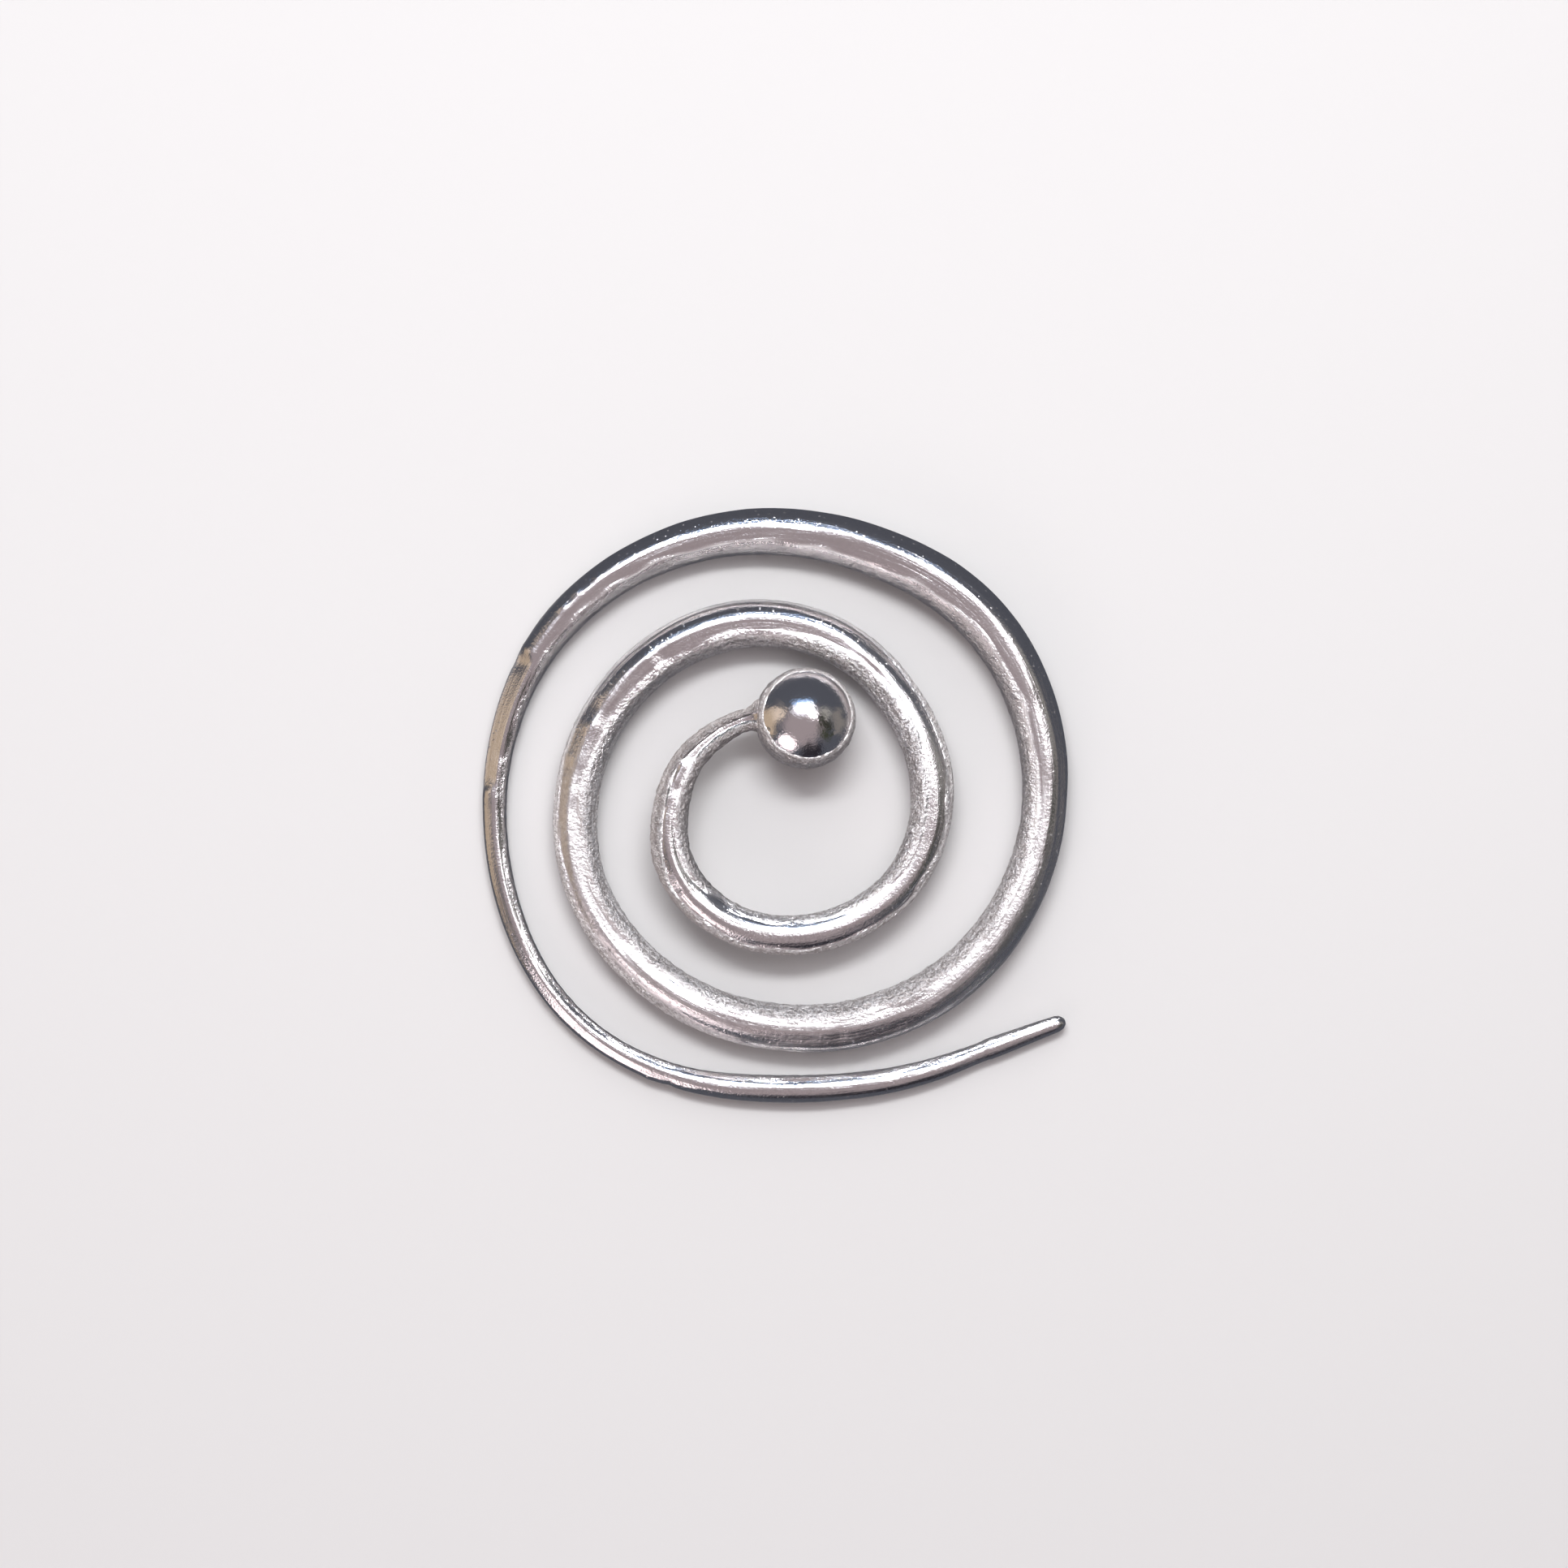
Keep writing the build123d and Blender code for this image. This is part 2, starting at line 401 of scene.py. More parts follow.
# The studio. from_above is the angle from straight up and bearing the angle round it, 0 along +X and 90
# along +Y.
LIGHTS = (
    # name, bearing, from_above, distance, width, height, radiance, colour, shines_on
    ("key_softbox", 98.0, 25.0, 0.26, 0.27, 0.155, 0.78, (0.84, 0.89, 1.0), "all"),
    ("key_core", 92.0, 27.5, 0.25, 0.165, 0.042, 23.0, (0.97, 0.985, 1.0), "all"),
    ("side_softbox", 35.0, 22.0, 0.28, 0.12, 0.095, 2.9, (0.95, 0.96, 1.0), "all"),
    ("low_softbox", 233.0, 60.0, 0.30, 0.18, 0.13, 2.0, (1.0, 0.88, 0.90), "all"),
    ("blue_edge", 95.0, 41.5, 0.27, 0.25, 0.030, 1.2, (0.25, 0.52, 1.0), "metal"),
    ("sky_softbox", 92.0, 40.0, 0.60, 0.80, 0.60, 1.35, (1.0, 0.985, 0.98), "floor"),
    ("back_fill", 90.0, 76.0, 0.60, 1.10, 0.30, 1.0, (1.0, 0.98, 0.98), "floor"),
    ("left_fill", 180.0, 78.0, 0.60, 0.80, 0.30, 0.8, (1.0, 0.97, 0.95), "floor"),
    ("right_fill", 0.0, 78.0, 0.60, 0.80, 0.30, 0.8, (1.0, 0.97, 0.97), "floor"),
    ("front_fill", 270.0, 78.0, 0.60, 0.80, 0.30, 0.8, (1.0, 0.97, 0.97), "floor"),
)

# What the silver mirrors beyond the lights, in the order that it is laid on: a patch of even colour out
# to inner degrees from its middle, which fades out at outer degrees
SURROUNDINGS = (
    # bearing, from_above, inner, outer, colour
    (270.0, 12.0, 30.0, 56.0, (0.305, 0.260, 0.272)),
    (180.0, 81.0, 17.0, 27.0, (0.46, 0.365, 0.275)),
    (165.0, 62.0, 10.0, 17.0, (0.66, 0.55, 0.46)),
    (0.0, 78.0, 10.0, 20.0, (0.20, 0.185, 0.175)),
    (20.0, 52.0, 6.0, 14.0, (0.32, 0.31, 0.29)),
    (350.0, 46.0, 9.0, 18.0, (0.035, 0.036, 0.028)),
    (325.0, 60.0, 5.0, 12.0, (0.040, 0.045, 0.026)),
    (282.0, 72.0, 12.0, 22.0, (0.022, 0.020, 0.026)),
)
SLATE = (0.075, 0.080, 0.098, 1.0)
PATCH_WAVES = 3.5  # how many waves there are in the patches' borders
PATCH_SHIFT = 0.7  # and how far they swing

# The floor, which curves up far from the cuff
FLOOR_COLOUR = (0.66, 0.65, 0.645, 1.0)
FLOOR_ROUGHNESS = 0.9
FLOOR_GLOSS = 0.1
FLOOR_RADII = (0.15, 0.45)
FLOOR_RISE = 0.25
FLOOR_SIDES = 96
FLOOR_RISE_STEPS = 8

# The camera looks straight down on the middle of the photograph's frame
FRAME_WIDTH = 79.2 * MM
FRAME_MIDDLE = (0.451 * MM, 1.087 * MM)
CAMERA_HEIGHT = 0.25
SENSOR_MM = 36.0


def along_table(table, column, where):
    """A column of a table between its rows, which its first column places."""
    parts = np.array(table, float).T
    return np.interp(where, parts[0], parts[column])


def smooth(low, high, value):
    """0 up to low, 1 from high on, and an even slope between them."""
    share = np.clip((value - low) / (high - low), 0.0, 1.0)
    return share * share * (3.0 - 2.0 * share)


def path_lengths(points):
    """How far along their path each of the points lies."""
    steps = np.linalg.norm(np.diff(points, axis=0), axis=1)
    return np.concatenate(([0.0], np.cumsum(steps)))


def natural_spline(knots, values, where):
    """The smooth curve through values at the knots, with no bend at its ends."""
    gaps = np.diff(knots)
    count = len(knots)
    rows = np.eye(count)
    right = np.zeros((count, values.shape[1]))
    for i in range(1, count - 1):
        rows[i, i - 1 : i + 2] = gaps[i - 1], 2.0 * (gaps[i - 1] + gaps[i]), gaps[i]
        slopes = (values[i + 1] - values[i]) / gaps[i] - (values[i] - values[i - 1]) / gaps[i - 1]
        right[i] = 6.0 * slopes
    bends = np.linalg.solve(rows, right)
    span = np.clip(np.searchsorted(knots, where) - 1, 0, count - 2)
    gap = gaps[span][:, None]
    before = (knots[span + 1] - where)[:, None]
    after = (where - knots[span])[:, None]
    cubic = (bends[span] * before**3 + bends[span + 1] * after**3) / (6.0 * gap)
    line = (values[span] / gap - bends[span] * gap / 6.0) * before
    return cubic + line + (values[span + 1] / gap - bends[span + 1] * gap / 6.0) * after


def swollen(swell):
    """The wire's thickness for a value of the swell column, in millimetres."""
    return EAR_WIRE_MM + swell * (BODY_MM - EAR_WIRE_MM)


def spot(turn, reach, height):
    """A point at an angle and a distance from the pole, in millimetres."""
    angle = math.radians(turn)
    return np.array((reach * math.cos(angle), reach * math.sin(angle), height))


def way_of(bearing, from_above):
    """The way to a place in the studio."""
    tilt = math.radians(from_above)
    swing = math.radians(bearing)
    return Vector((math.sin(tilt) * math.cos(swing), math.sin(tilt) * math.sin(swing), math.cos(tilt)))


def wire_knots():
    """Rows of (x, y, z, thickness) that the wire passes through, from the ball's middle to its tip."""
    ball = np.array((*BALL_CENTRE_MM, BALL_RADIUS_MM))
    neck_way = spot(NECK_TURN, 1.0, 0.0)
    neck_end = ball + neck_way * (BALL_RADIUS_MM + NECK_LENGTH_MM)
    lift = (BALL_MM - NECK_MM) / 2.0
    rows = [(*ball, NECK_MM), (*neck_end, NECK_MM)]
    neck_turn = math.degrees(math.atan2(neck_end[1], neck_end[0]))
    neck_reach = math.hypot(neck_end[0], neck_end[1])
    first_turn, first_reach, first_swell, _ = COIL[0]
    for along, out, fill, rise in INNER_END:
        thickness = NECK_MM + fill * (swollen(first_swell) - NECK_MM)
        turn = neck_turn + along * (first_turn - neck_turn)
        reach = neck_reach + out * (COIL_RADIUS_MM * first_reach - neck_reach)
        rows.append((*spot(turn, reach, thickness / 2.0 + rise * lift), thickness))
    for turn, reach, swell, rise in COIL:
        thickness = swollen(swell)
        rows.append((*spot(turn, COIL_RADIUS_MM * reach, thickness / 2.0 + rise * lift), thickness))
    pin = next(mount for mount in frame["record"]["mounts"] if mount["name"] == "pin")
    way = np.array(pin["axis"])
    middle = np.array(pin["pos_m"]) / MM
    root = middle - way * pin["dims"]["length_mm"] / 2.0 - np.array((*POLE_MM, 0.0))
    heel = root - way * PIN_HEEL_MM
    heel[2] = EAR_WIRE_MM / 2.0
    rows.append((*heel, EAR_WIRE_MM))
    for share in PIN_KNOTS:
        rows.append((*(root + way * share * PIN_LENGTH_MM), PIN_MM))
    return np.array(rows)


def turns_of(points):
    """The angle round the pole of points along the wire, going on past 360."""
    return np.degrees(np.unwrap(np.arctan2(points[:, 1], points[:, 0])))


def wire_rings():
    """Centres, ways and half thicknesses of the rings from inside the ball to the pin's tip."""
    knots = wire_knots()
    reach = path_lengths(knots[:, :3])
    curve = natural_spline(reach, knots, np.linspace(0.0, reach[-1], 4 * WIRE_RINGS))
    length = path_lengths(curve[:, :3])
    foot = BALL_RADIUS_MM * math.cos(math.asin(COLLAR_MM / BALL_MM))
    rings = np.linspace(foot - SUNK_MM, length[-1], WIRE_RINGS)
    crowded = np.linspace(1.0, 0.0, TIP_RINGS) ** 2
    rings[-TIP_RINGS:] = length[-1] - crowded * (length[-1] - rings[-TIP_RINGS])
    centres = np.column_stack([np.interp(rings, length, curve[:, i]) for i in range(3)])
    half = np.interp(rings, length, curve[:, 3]) / 2.0

    collar_end = BALL_RADIUS_MM + COLLAR_LENGTH_MM
    collar = np.clip((collar_end - rings) / (collar_end - foot), 0.0, 1.0)
    half += collar**COLLAR_CURVE * (COLLAR_MM - NECK_MM) / 2.0

    from_tip = length[-1] - rings
    taper = along_table(PIN_TAPER, 1, from_tip) * PIN_MM / 2.0
    on_pin = from_tip < PIN_TAPER[-1][0]
    half = np.where(on_pin, np.minimum(taper, half * PIN_SWELL), half)
    ways = np.gradient(centres, rings, axis=0)
    ways /= np.linalg.norm(ways, axis=1)[:, None]
    return centres, ways, half


def cloud(points, scale, octaves=1):
    """Smooth noise from about -1 to 1 at each point, with features about as large as scale."""
    flat = (points / scale).reshape(-1, 3)
    if octaves == 1:
        values = [noise.noise(p) for p in flat.tolist()]
    else:
        values = [noise.fractal(p, *FRACTAL, octaves) for p in flat.tolist()]
    return np.array(values).reshape(points.shape[:-1])


def drawn_out(unrolled, grain):
    """Places along and across the wire, in grains that are long and wide."""
    return unrolled / (grain[0], grain[1], grain[1])


def skin_at(turns, name):
    """A column of the skin's table at each ring, ready to spread over its sides."""
    return along_table(SKIN, SKIN_COLUMNS.index(name), turns)[:, None]


def filed(radius, half, turns, facing):
    """The radius after the file has laid its flats, with soft edges."""
    for start, end, fade, flat_facing, keep in FLATS:
        hold = smooth(start - fade, start + fade, turns) * smooth(end + fade, end - fade, turns)
        swing = np.cos(np.radians(facing - flat_facing))
        over = radius - keep * half[:, None] / np.maximum(swing, FLAT_REACH)[None, :]
        depth = (over + np.sqrt(over**2 + FLAT_EDGE_MM**2)) / 2.0 * (swing > FLAT_REACH)[None, :]
        radius = radius - depth * hold[:, None]
    return radius


def dented(radius, length, turns, facing):
    """The radius with its dents and lumps."""
    for turn, dent_facing, reach, around, depth in DENTS:
        far = ((length - np.interp(turn, turns, length)) / reach)[:, None]
        aside = ((facing - dent_facing + 180.0) % 360.0 - 180.0)[None, :] / around
        radius = radius - depth * np.exp(-(far**2) - aside**2)
    return radius


def sweep_wire():
    """The wire's rings of points, with what the material needs to know at each of them."""
    centres, ways, half = wire_rings()
    length = path_lengths(centres)
    turns = turns_of(centres)

    outward = np.cross(ways, (0.0, 0.0, 1.0))
    outward /= np.linalg.norm(outward, axis=1)[:, None]
    upward = np.cross(outward, ways)

    share = np.arange(SIDES) / SIDES
    facing = 90.0 + 360.0 * share - math.degrees(CROWDING) * np.sin(2.0 * math.pi * share)
    sideways = np.cos(np.radians(facing))[None, :]
    above = np.sin(np.radians(facing))[None, :]
    spoke = sideways[:, :, None] * outward[:, None, :] + above[:, :, None] * upward[:, None, :]
    even = centres[:, None, :] + half[:, None, None] * spoke
    along = np.repeat(length[:, None], SIDES, 1)
    unrolled = np.stack((along, half[:, None] * sideways, half[:, None] * above), axis=-1)

    # The skin that the casting left, on both flanks and underneath
    across = sideways
    for far, draw, size_mm in BORDER_WAVES:
        across = across + far * cloud(unrolled * (draw, 1.0, 1.0), size_mm)

    inner = skin_at(turns, "inner")
    outer = skin_at(turns, "outer")
    coarse = skin_at(turns, "coarse")
    pale = skin_at(turns, "pale")
    inner_skin = smooth(inner + INNER_BORDER[0], inner + INNER_BORDER[1], -across)
    outer_skin = smooth(outer + OUTER_BORDER[0], outer + OUTER_BORDER[1], across)
    low_skin = smooth(*LOW_BORDER, -above) * smooth(*LOW_OUTER, outer)
    under_skin = smooth(*UNDER_BORDER, -above)
    skin = np.maximum(np.maximum(inner_skin, outer_skin), np.maximum(low_skin, under_skin))

    # The bright line along each edge, a matt painted reflection, and the ridge where the skin starts on
    # the widest turn, which is matt in the same way
    edge_start = EDGE_START[0] + EDGE_START[1] * outer
    edge_full = EDGE_FULL[0] + EDGE_FULL[1] * outer
    outer_edge = smooth(edge_start, edge_full, sideways) * smooth(*EDGE_OUTER, outer)
    inner_edge = INNER_EDGE * smooth(*INNER_EDGE_BORDER, -sideways) * smooth(*INNER_EDGE_PALE, pale)
    edge = np.maximum(outer_edge, inner_edge)
    crest = np.exp(-(((across + inner) / CREST_WIDTH) ** 2)) * (above > 0.0)
    crest = crest * (smooth(*CREST_START, turns) * smooth(*CREST_END, turns))[:, None]
    waves = cloud(unrolled * CREST_DRAW, CREST_WAVE_MM)
    crest = crest * np.clip(CREST_WAVES[0] + CREST_WAVES[1] * waves, 0.0, 1.0)

    # The wire's shape as it was worked: lumps, flats and dents
    size = np.minimum(1.0, half / FULL_RELIEF_MM)[:, None]
    radius = half[:, None] + LUMP_HEIGHT_MM * size * cloud(even * LUMP_SQUASH, LUMP_MM)
    radius = filed(radius, half, turns, facing)
    radius = dented(radius, length, turns, facing)

    # Its surface: skin, grain, dimples, and streaks and ridges that run along it
    grained = STRIP_GRAIN + (1.0 - STRIP_GRAIN) * np.maximum(skin, edge)
    grain = GRAIN_HEIGHT_MM * coarse * grained * cloud(even, GRAIN_MM, 2)
    streaks = STREAK_HEIGHT_MM * size * cloud(drawn_out(unrolled, STREAK_MM), 1.0, 2)
    ridges = RIDGE_HEIGHT_MM * size * skin * cloud(drawn_out(unrolled, RIDGE_MM), 1.0)
    dimples = DIMPLE_HEIGHT_MM * size * cloud(drawn_out(unrolled, DIMPLE_MM), 1.0)
    radius = radius + grain * (skin > LEAST_SKIN) + SKIN_HEIGHT_MM * skin
    radius = radius + dimples + streaks + ridges + CREST_MM * crest

    points = centres[:, None, :] + radius[:, :, None] * spoke
    points[..., 2] = np.maximum(points[..., 2], 0.0)

    # skin is how strong its grain is, edge how bright the matt lines along it are (a painted reflection),
    # mirror is 1 on the ball's cap alone, satin is how dull the polished strip is, and the last is
    # painted shade on the skin
    values = {
        "skin": skin * coarse,
        "edge": np.maximum(edge, crest),
        "mirror": np.zeros_like(skin),
        "satin": np.repeat(skin_at(turns, "satin"), SIDES, 1),
        # painted shade: a low pale darkens the skin where its flank faces away from the key light
        "painted_shade": 1.0 - np.repeat(pale, SIDES, 1),
    }
    return points, unrolled, values


def sweep_ball():
    """The ball's rings of points, round its cap's own axis, with what the material needs to know."""
    rings = [np.linspace(start, end, count, endpoint=False) for start, end, count in BALL_RINGS]
    lean = np.concatenate(rings)[:, None]
    swing = np.radians(lean)
    bearing = np.radians(np.arange(BALL_SIDES)[None, :] * 360.0 / BALL_SIDES)
    axis = np.array(way_of(CAP_BEARING, CAP_LEAN))
    first = np.cross((0.0, 1.0, 0.0), axis)
    first /= np.linalg.norm(first)
    second = np.cross(axis, first)
    flat = np.cos(bearing)[..., None] * first + np.sin(bearing)[..., None] * second
    out = np.sin(swing)[..., None] * flat + np.cos(swing)[..., None] * axis
    middle = np.array((*BALL_CENTRE_MM, BALL_RADIUS_MM))
    even = middle + BALL_RADIUS_MM * out

    past = lean - CAP_EDGE
    for far, size_mm in CAP_WAVES:
        past = past + far * cloud(even, size_mm)
    rim = smooth(*RIM_START, past)
    border = rim * np.exp(-((past / RIM_BORDER) ** 2))
    around = np.broadcast_to(bearing * BALL_RADIUS_MM, past.shape)
    unrolled = np.stack((around, np.radians(past) * BALL_RADIUS_MM, np.zeros_like(past)), axis=-1)

    swell = np.clip(lean - CAP_EDGE + CAP_FLAT_WIDTH, 0.0, CAP_FLAT_WIDTH) / CAP_FLAT_WIDTH
    swell = (swell**2 - CAP_SUNK) * smooth(CAP_EDGE + CAP_FADE[0], CAP_EDGE + CAP_FADE[1], lean)
    lip = along_table(RIM, 1, past) * (1.0 + RIM_WAVES[0] * cloud(even, RIM_WAVES[1]))
    radius = BALL_RADIUS_MM + CAP_FLAT_MM * swell + lip
    radius += GRAIN_HEIGHT_MM * (CAP_GRAIN + (1.0 - CAP_GRAIN) * rim) * cloud(even, GRAIN_MM, 2)
    radius += RIDGE_HEIGHT_MM * rim * cloud(drawn_out(unrolled, RIDGE_MM), 1.0)
    for pit_bearing, from_above, half_width, depth in PITS:
        spread = half_width / BALL_RADIUS_MM
        towards = np.clip(out @ np.array(way_of(pit_bearing, from_above)), -1.0, 1.0)
        radius -= depth * np.exp(-((np.arccos(towards) / spread) ** 2))

    points = middle + radius[..., None] * out
    points[..., 2] = np.maximum(points[..., 2], 0.0)
    values = {
        "skin": RIM_SKIN * rim,
        "edge": RIM_EDGE * rim + (1.0 - RIM_EDGE) * border,
        "mirror": 1.0 - rim,
        "satin": np.zeros_like(rim),
        # painted shade: the rim is darker away from the bright line along the cap's edge, a painted
        # reflection
        "painted_shade": RIM_DARK * rim - RIM_DARK * border,
    }
    return points, unrolled, values


def sweep_mesh(name, rings, first, last):
    """A closed mesh through the rings but for the end ones, with a point at each end instead."""
    sides = rings.shape[1]
    count = rings.shape[0] - 2
    corners = rings[1:-1].reshape(-1, 3) * MM
    ends = np.array((first, last)) * MM
    faces = []
    for ring in range(count - 1):
        low = ring * sides
        high = low + sides
        for side in range(sides):
            after = (side + 1) % sides
            faces.append((low + side, high + side, high + after, low + after))
    start = count * sides
    end = start + 1
    edge = (count - 1) * sides
    for side in range(sides):
        after = (side + 1) % sides
        faces.append((start, side, after))
        faces.append((end, edge + after, edge + side))
    mesh = bpy.data.meshes.new(name)
    mesh.from_pydata(np.concatenate((corners, ends)).tolist(), [], faces)
    mesh.shade_smooth()
    return mesh


def add_layer(mesh, name, kind, key, values):
    """A number or a place at each point of the mesh."""
    layer = mesh.attributes.new(name, kind, "POINT")
    layer.data.foreach_set(key, values.astype(np.float32).ravel())


def make_silver(name, sweep):
    """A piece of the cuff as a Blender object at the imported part's place."""
    rings, unrolled, values = sweep()
    rings = rings + np.array((*POLE_MM, 0.0))
    mesh = sweep_mesh(name, rings, rings[0].mean(axis=0), rings[-1].mean(axis=0))
    ends = [0, -1]
    for key, value in values.items():
        at_points = np.concatenate((value[1:-1].ravel(), value[ends].mean(axis=1)))
        add_layer(mesh, key, "FLOAT", "value", at_points)
    places = np.concatenate((unrolled[1:-1].reshape(-1, 3), unrolled[ends].mean(axis=1)))
    add_layer(mesh, "wire_place", "FLOAT_VECTOR", "vector", places * MM)
    piece = bpy.data.objects.new(name, mesh)
    bpy.context.scene.collection.objects.link(piece)
    return piece


class Nodes:
    """A short way to write a node tree."""

    def __init__(self, tree):
        self.tree = tree
        tree.nodes.clear()

    def fill(self, node, inputs):
        """The node, with its inputs set to numbers or linked to sockets."""
        for key, value in inputs.items():
            if isinstance(value, bpy.types.NodeSocket):
                self.tree.links.new(value, node.inputs[key])
            else:
                node.inputs[key].default_value = value
        return node

    def add(self, kind, inputs=None, **settings):
        """A node of a kind, with its settings and inputs."""
        node = self.tree.nodes.new(kind)
        for key, value in settings.items():
            setattr(node, key, value)
        return self.fill(node, inputs or {})

    def attribute(self, name, output="Fac"):
        """What the mesh holds under a name."""
        return self.add("ShaderNodeAttribute", attribute_name=name).outputs[output]

    def chain(self, operation, values):
        """One number from several, taken in turn."""
        result = values[0]
        for value in values[1:]:
            result = self.add("ShaderNodeMath", {0: result, 1: value}, operation=operation).outputs[0]
        return result

    def plus(self, *values):
        """The sum of numbers or sockets."""
        return self.chain("ADD", values)

    def times(self, *values):
        """Their product."""
        return self.chain("MULTIPLY", values)

    def most(self, *values):
        """The largest of them."""
        return self.chain("MAXIMUM", values)

    def rest(self, value):
        """What a value leaves of 1."""
        return self.chain("SUBTRACT", (1.0, value))

    def vector(self, operation, inputs):
        """A node that works on vectors."""
        return self.add("ShaderNodeVectorMath", inputs, operation=operation)

    def scaled(self, vector, factors):
        """A vector times another."""
        return self.vector("MULTIPLY", {0: vector, 1: factors}).outputs[0]

    def ramp(self, value, low, high, at_low=0.0, at_high=1.0):
        """A value's share of the way from low to high, as a number from at_low to at_high."""
        inputs = {"Value": value, "From Min": low, "From Max": high, "To Min": at_low, "To Max": at_high}
        return self.add("ShaderNodeMapRange", inputs, interpolation_type="SMOOTHSTEP").outputs[0]

    def mix(self, share, first, second):
        """A colour between two colours."""
        node = self.add("ShaderNodeMix", data_type="RGBA")
        return self.fill(node, {0: share, 6: first, 7: second}).outputs[2]

    def noise(self, vector, scale, detail, roughness):
        """Smooth noise from 0 to 1."""
        inputs = {"Vector": vector, "Scale": scale, "Detail": detail, "Roughness": roughness}
        return self.add("ShaderNodeTexNoise", inputs).outputs["Fac"]

    def drawn_noise(self, vector, scales, detail, roughness):
        """Noise with a scale of its own along each axis."""
        return self.noise(self.scaled(vector, scales), 1.0, detail, roughness)

    def spots(self, vector, scale):
        """The distance to the nearest of scattered points."""
        inputs = {"Vector": vector, "Scale": scale}
        return self.add("ShaderNodeTexVoronoi", inputs).outputs["Distance"]


def silver_material():
    """Silver, polished along the crown and grained where the skin of the casting is left."""
    material = bpy.data.materials.new("silver")
    material.use_nodes = True
    nodes = Nodes(material.node_tree)
    here = nodes.add("ShaderNodeTexCoord").outputs["Object"]
    place = nodes.attribute("wire_place", "Vector")
    skin = nodes.attribute("skin")
    edge = nodes.attribute("edge")
    mirror = nodes.attribute("mirror")
    satin = nodes.attribute("satin")
    painted_shade = nodes.attribute("painted_shade")
    strip = nodes.rest(skin)
    worked = nodes.rest(nodes.most(nodes.times(skin, SKIN_LINES), mirror))
    off_cap = nodes.rest(nodes.times(mirror, CAP_POLISH))

    # Grain and beads of 0.1 to 0.3 mm, lines and furrows along the wire, and specks on its outer flank
    grain = nodes.noise(here, *GRAINS)
    beads = nodes.noise(here, *BEADS)
    dapples = nodes.noise(here, *DAPPLES)
    furrows = nodes.drawn_noise(place, *FURROWS)
    lines = nodes.drawn_noise(place, *LINES)
    outwards = nodes.add("ShaderNodeSeparateXYZ", {"Vector": place}).outputs["Y"]
    outside = nodes.ramp(outwards, *SPECK_FLANK)
    specks = nodes.times(nodes.ramp(nodes.spots(here, SPECKS), *SPECK_SIZE), outside)

    grain_height = nodes.plus(nodes.times(skin, SKIN_GRAIN_HEIGHT), STRIP_GRAIN_HEIGHT)
    dapple_height = nodes.plus(nodes.times(satin, SATIN_DAPPLE_HEIGHT), DAPPLE_HEIGHT)
    height = nodes.plus(
        nodes.times(grain, nodes.times(grain_height, off_cap)),
        nodes.times(beads, skin, BEAD_HEIGHT),
        nodes.times(lines, worked, LINE_HEIGHT),
        nodes.times(dapples, off_cap, dapple_height),
        nodes.times(specks, worked, SPECK_HEIGHT),
    )
    bump = nodes.add("ShaderNodeBump", {"Strength": 1.0, "Distance": 1.0, "Height": height})

    # The grain's hollows are darker, partly tarnish and partly painted shade for its sparkle, and the
    # painted shade darkens the skin all over where it is set
    relief = nodes.plus(nodes.times(beads, BEAD_SHARE), nodes.times(furrows, FURROW_SHARE))
    tarnished_shaded_hollows = nodes.ramp(nodes.plus(grain, relief), *HOLLOW)
    tarnished_shaded_hollows = nodes.plus(tarnished_shaded_hollows, nodes.times(painted_shade, nodes.rest(tarnished_shaded_hollows)))
    worn = nodes.plus(nodes.times(satin, SATIN_DULLNESS), nodes.times(strip, STRIP_DULLNESS))
    tarnish_and_shade = nodes.times(nodes.most(skin, nodes.times(worn, worked)), tarnished_shaded_hollows)

    polish = nodes.times(nodes.ramp(lines, *DRAWN, *POLISH_ROUGHNESS), off_cap)
    rough = nodes.plus(
        nodes.times(skin, SKIN_ROUGHNESS), nodes.times(polish, strip), nodes.times(satin, SATIN_ROUGHNESS)
    )
    dotted = nodes.ramp(beads, *SPECK_BEADS, 0.0, SPECK_MATTNESS)
    # The edges, the crest and the ball's rim are partly matt: a painted reflection where polished silver
    # would mirror pale surroundings
    matt = nodes.plus(nodes.times(skin, SKIN_MATTNESS), nodes.times(edge, EDGE_MATTNESS))
    matt = nodes.most(matt, nodes.times(specks, worked, dotted))
    inputs = {
        "Base Color": nodes.mix(tarnish_and_shade, BRIGHT, TARNISH_SHADE_COLOUR),
        "Metallic": nodes.rest(matt),
        "Roughness": rough,
        "Normal": bump.outputs[0],
    }
    shader = nodes.add("ShaderNodeBsdfPrincipled", inputs)
    nodes.add("ShaderNodeOutputMaterial", {"Surface": shader.outputs[0]})
    return material


def make_lights():
    """Soft boxes that face the cuff."""
    for name, bearing, from_above, distance, width, height, radiance, colour, shines_on in LIGHTS:
        data = bpy.data.lights.new(name, "AREA")
        data.shape = "ELLIPSE"
        data.size = width
        data.size_y = height
        data.energy = radiance * math.pi * (math.pi / 4.0 * width * height)
        data.color = colour
        light = bpy.data.objects.new(name, data)
        way = way_of(bearing, from_above)
        light.location = way * distance
        light.visible_diffuse = shines_on != "metal"
        light.visible_glossy = shines_on != "floor"
        light.rotation_euler = way.to_track_quat("Z", "Y").to_euler()
        bpy.context.scene.collection.objects.link(light)


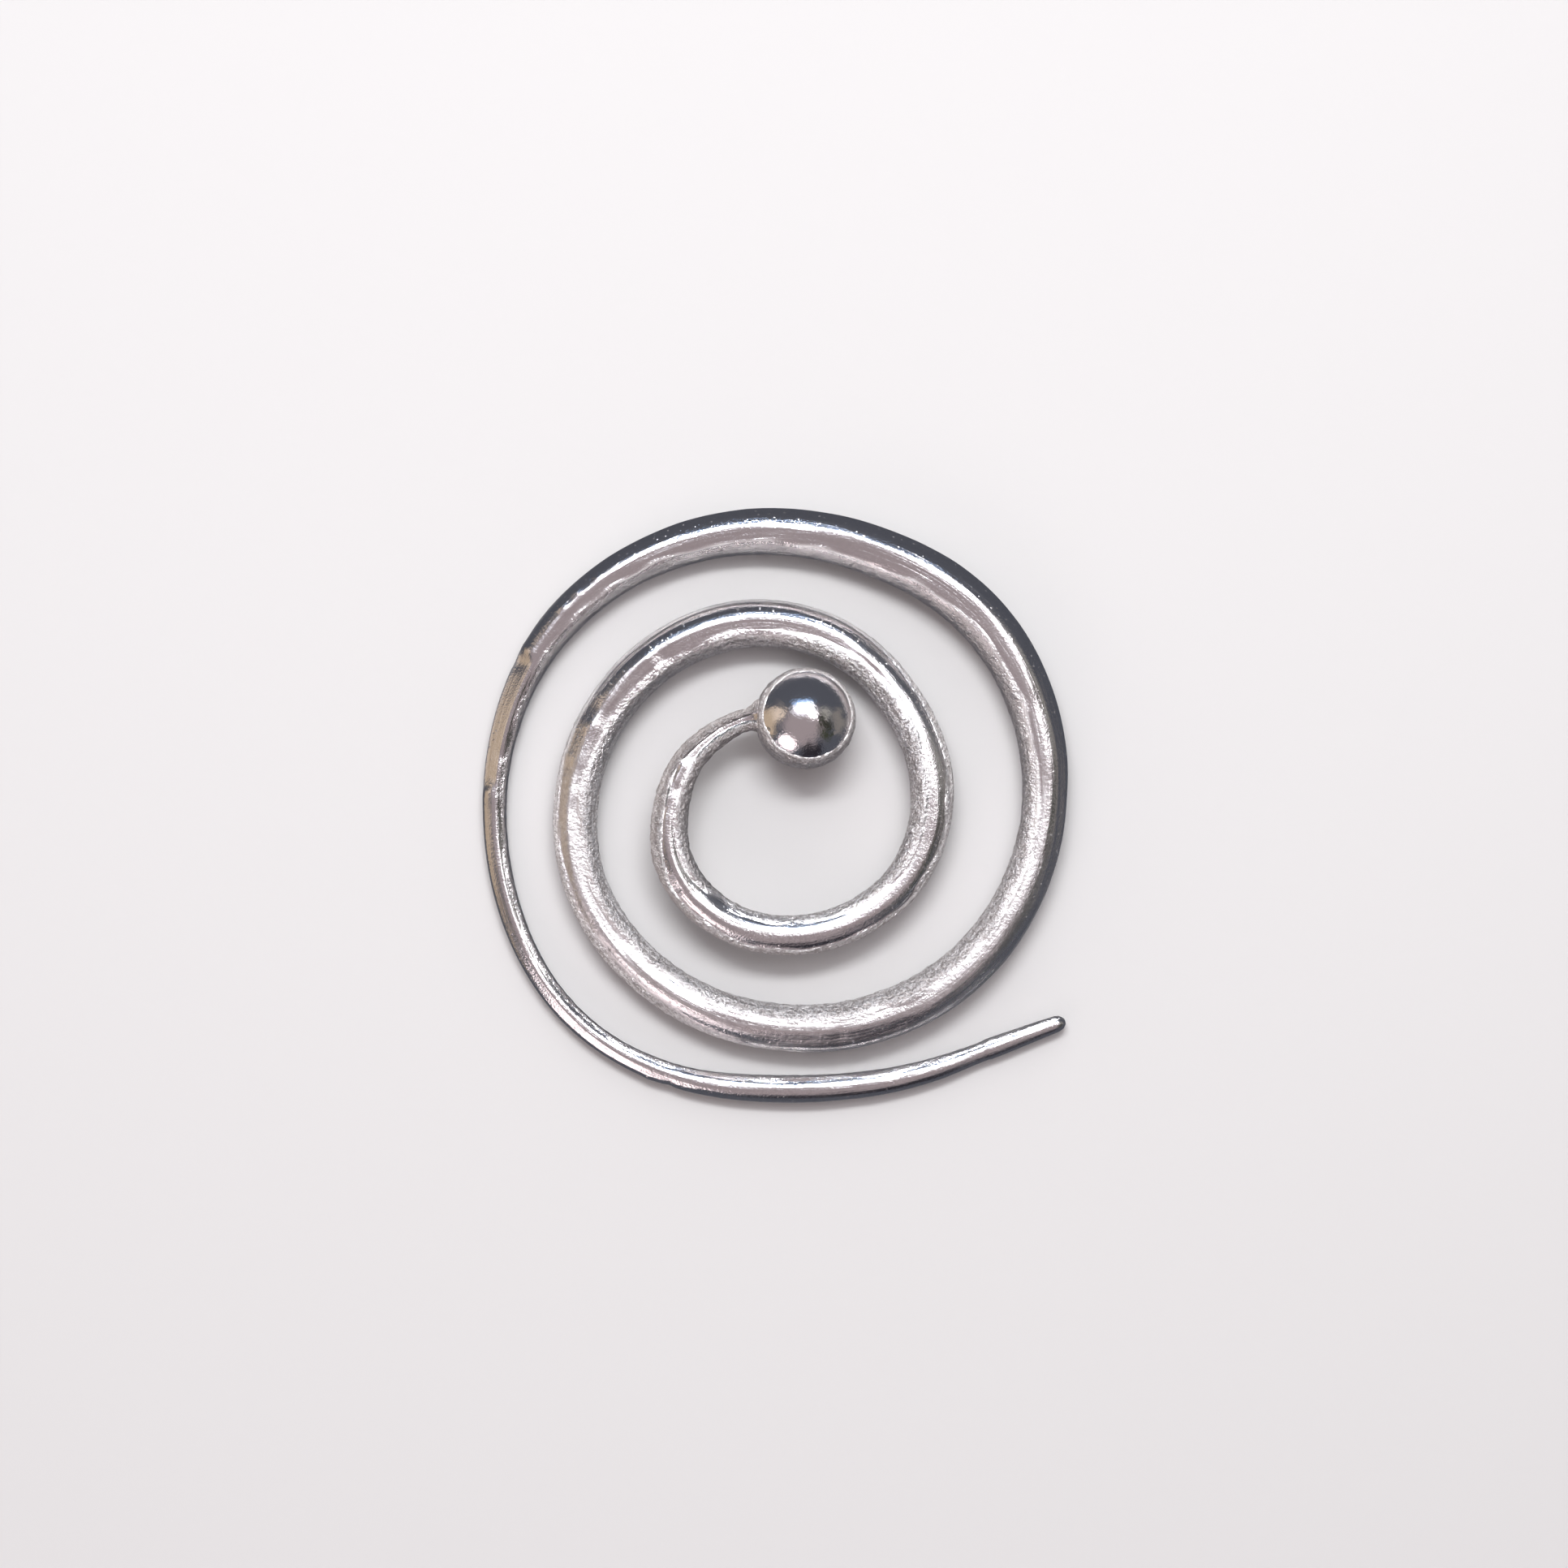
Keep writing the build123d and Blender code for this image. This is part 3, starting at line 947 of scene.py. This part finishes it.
def make_world():
    """The dim surroundings, in patches with wavy borders."""
    world = bpy.data.worlds.new("studio")
    world.use_nodes = True
    nodes = Nodes(world.node_tree)
    way = nodes.add("ShaderNodeTexCoord").outputs["Generated"]
    waves = nodes.add("ShaderNodeTexNoise", {"Vector": way, "Scale": PATCH_WAVES, "Detail": 2.0})
    shift = nodes.vector("SUBTRACT", {0: waves.outputs["Color"], 1: (0.5, 0.5, 0.5)}).outputs[0]
    shift = nodes.scaled(shift, (PATCH_SHIFT, PATCH_SHIFT, PATCH_SHIFT))
    way = nodes.vector("ADD", {0: way, 1: shift}).outputs[0]
    way = nodes.vector("NORMALIZE", {0: way}).outputs[0]
    colour = SLATE
    for bearing, from_above, inner, outer, patch in SURROUNDINGS:
        dot = nodes.vector("DOT_PRODUCT", {0: way, 1: way_of(bearing, from_above)}).outputs["Value"]
        share = nodes.ramp(dot, math.cos(math.radians(outer)), math.cos(math.radians(inner)))
        colour = nodes.mix(share, colour, (*patch, 1.0))
    background = nodes.add("ShaderNodeBackground", {"Color": colour, "Strength": 1.0})
    nodes.add("ShaderNodeOutputWorld", {"Surface": background.outputs[0]})
    bpy.context.scene.world = world


def floor_material():
    """A plain pale matt colour."""
    material = bpy.data.materials.new("pale_floor")
    material.use_nodes = True
    nodes = Nodes(material.node_tree)
    inputs = {
        "Base Color": FLOOR_COLOUR,
        "Roughness": FLOOR_ROUGHNESS,
        "Specular IOR Level": FLOOR_GLOSS,
    }
    shader = nodes.add("ShaderNodeBsdfPrincipled", inputs)
    nodes.add("ShaderNodeOutputMaterial", {"Surface": shader.outputs[0]})
    return material


def make_floor():
    """A plain pale floor that curves up far from the cuff. The silver doesn't mirror it."""
    profile = [(radius, 0.0) for radius in FLOOR_RADII]
    for step in range(1, FLOOR_RISE_STEPS + 1):
        swing = math.radians(90.0 * step / FLOOR_RISE_STEPS)
        reach = FLOOR_RADII[-1] + FLOOR_RISE * math.sin(swing)
        profile.append((reach, FLOOR_RISE * (1.0 - math.cos(swing))))
    points = [(0.0, 0.0, 0.0)]
    for reach, height in profile:
        for side in range(FLOOR_SIDES):
            swing = 2.0 * math.pi * side / FLOOR_SIDES
            points.append((reach * math.cos(swing), reach * math.sin(swing), height))
    faces = [(0, 1 + side, 1 + (side + 1) % FLOOR_SIDES) for side in range(FLOOR_SIDES)]
    for ring in range(len(profile) - 1):
        low = 1 + ring * FLOOR_SIDES
        high = low + FLOOR_SIDES
        for side in range(FLOOR_SIDES):
            after = (side + 1) % FLOOR_SIDES
            faces.append((low + side, high + side, high + after, low + after))
    mesh = bpy.data.meshes.new("floor")
    mesh.from_pydata(points, [], faces)
    mesh.shade_smooth()
    mesh.materials.append(floor_material())
    floor = bpy.data.objects.new("floor", mesh)
    bpy.context.scene.collection.objects.link(floor)
    floor.visible_glossy = False
    floor.visible_shadow = False


def make_camera():
    """The camera at the photograph's viewing angle."""
    data = bpy.data.cameras.new("camera")
    data.sensor_width = SENSOR_MM
    data.lens = SENSOR_MM * CAMERA_HEIGHT / FRAME_WIDTH
    data.clip_start = 0.01
    data.clip_end = 5.0
    camera = bpy.data.objects.new("camera", data)
    camera.location = (*FRAME_MIDDLE, CAMERA_HEIGHT + BODY_MM / 2.0 * MM)
    bpy.context.scene.collection.objects.link(camera)
    bpy.context.scene.camera = camera


def main():
    """The whole scene."""
    silver = silver_material()
    for name, sweep in (("silver_wire", sweep_wire), ("silver_ball", sweep_ball)):
        piece = make_silver(name, sweep)
        piece.data.materials.append(silver)
        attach(piece, "root")
        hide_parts(NODE)
    make_floor()
    make_lights()
    make_world()
    make_camera()
    bpy.context.scene.view_settings.view_transform = "Standard"


main()
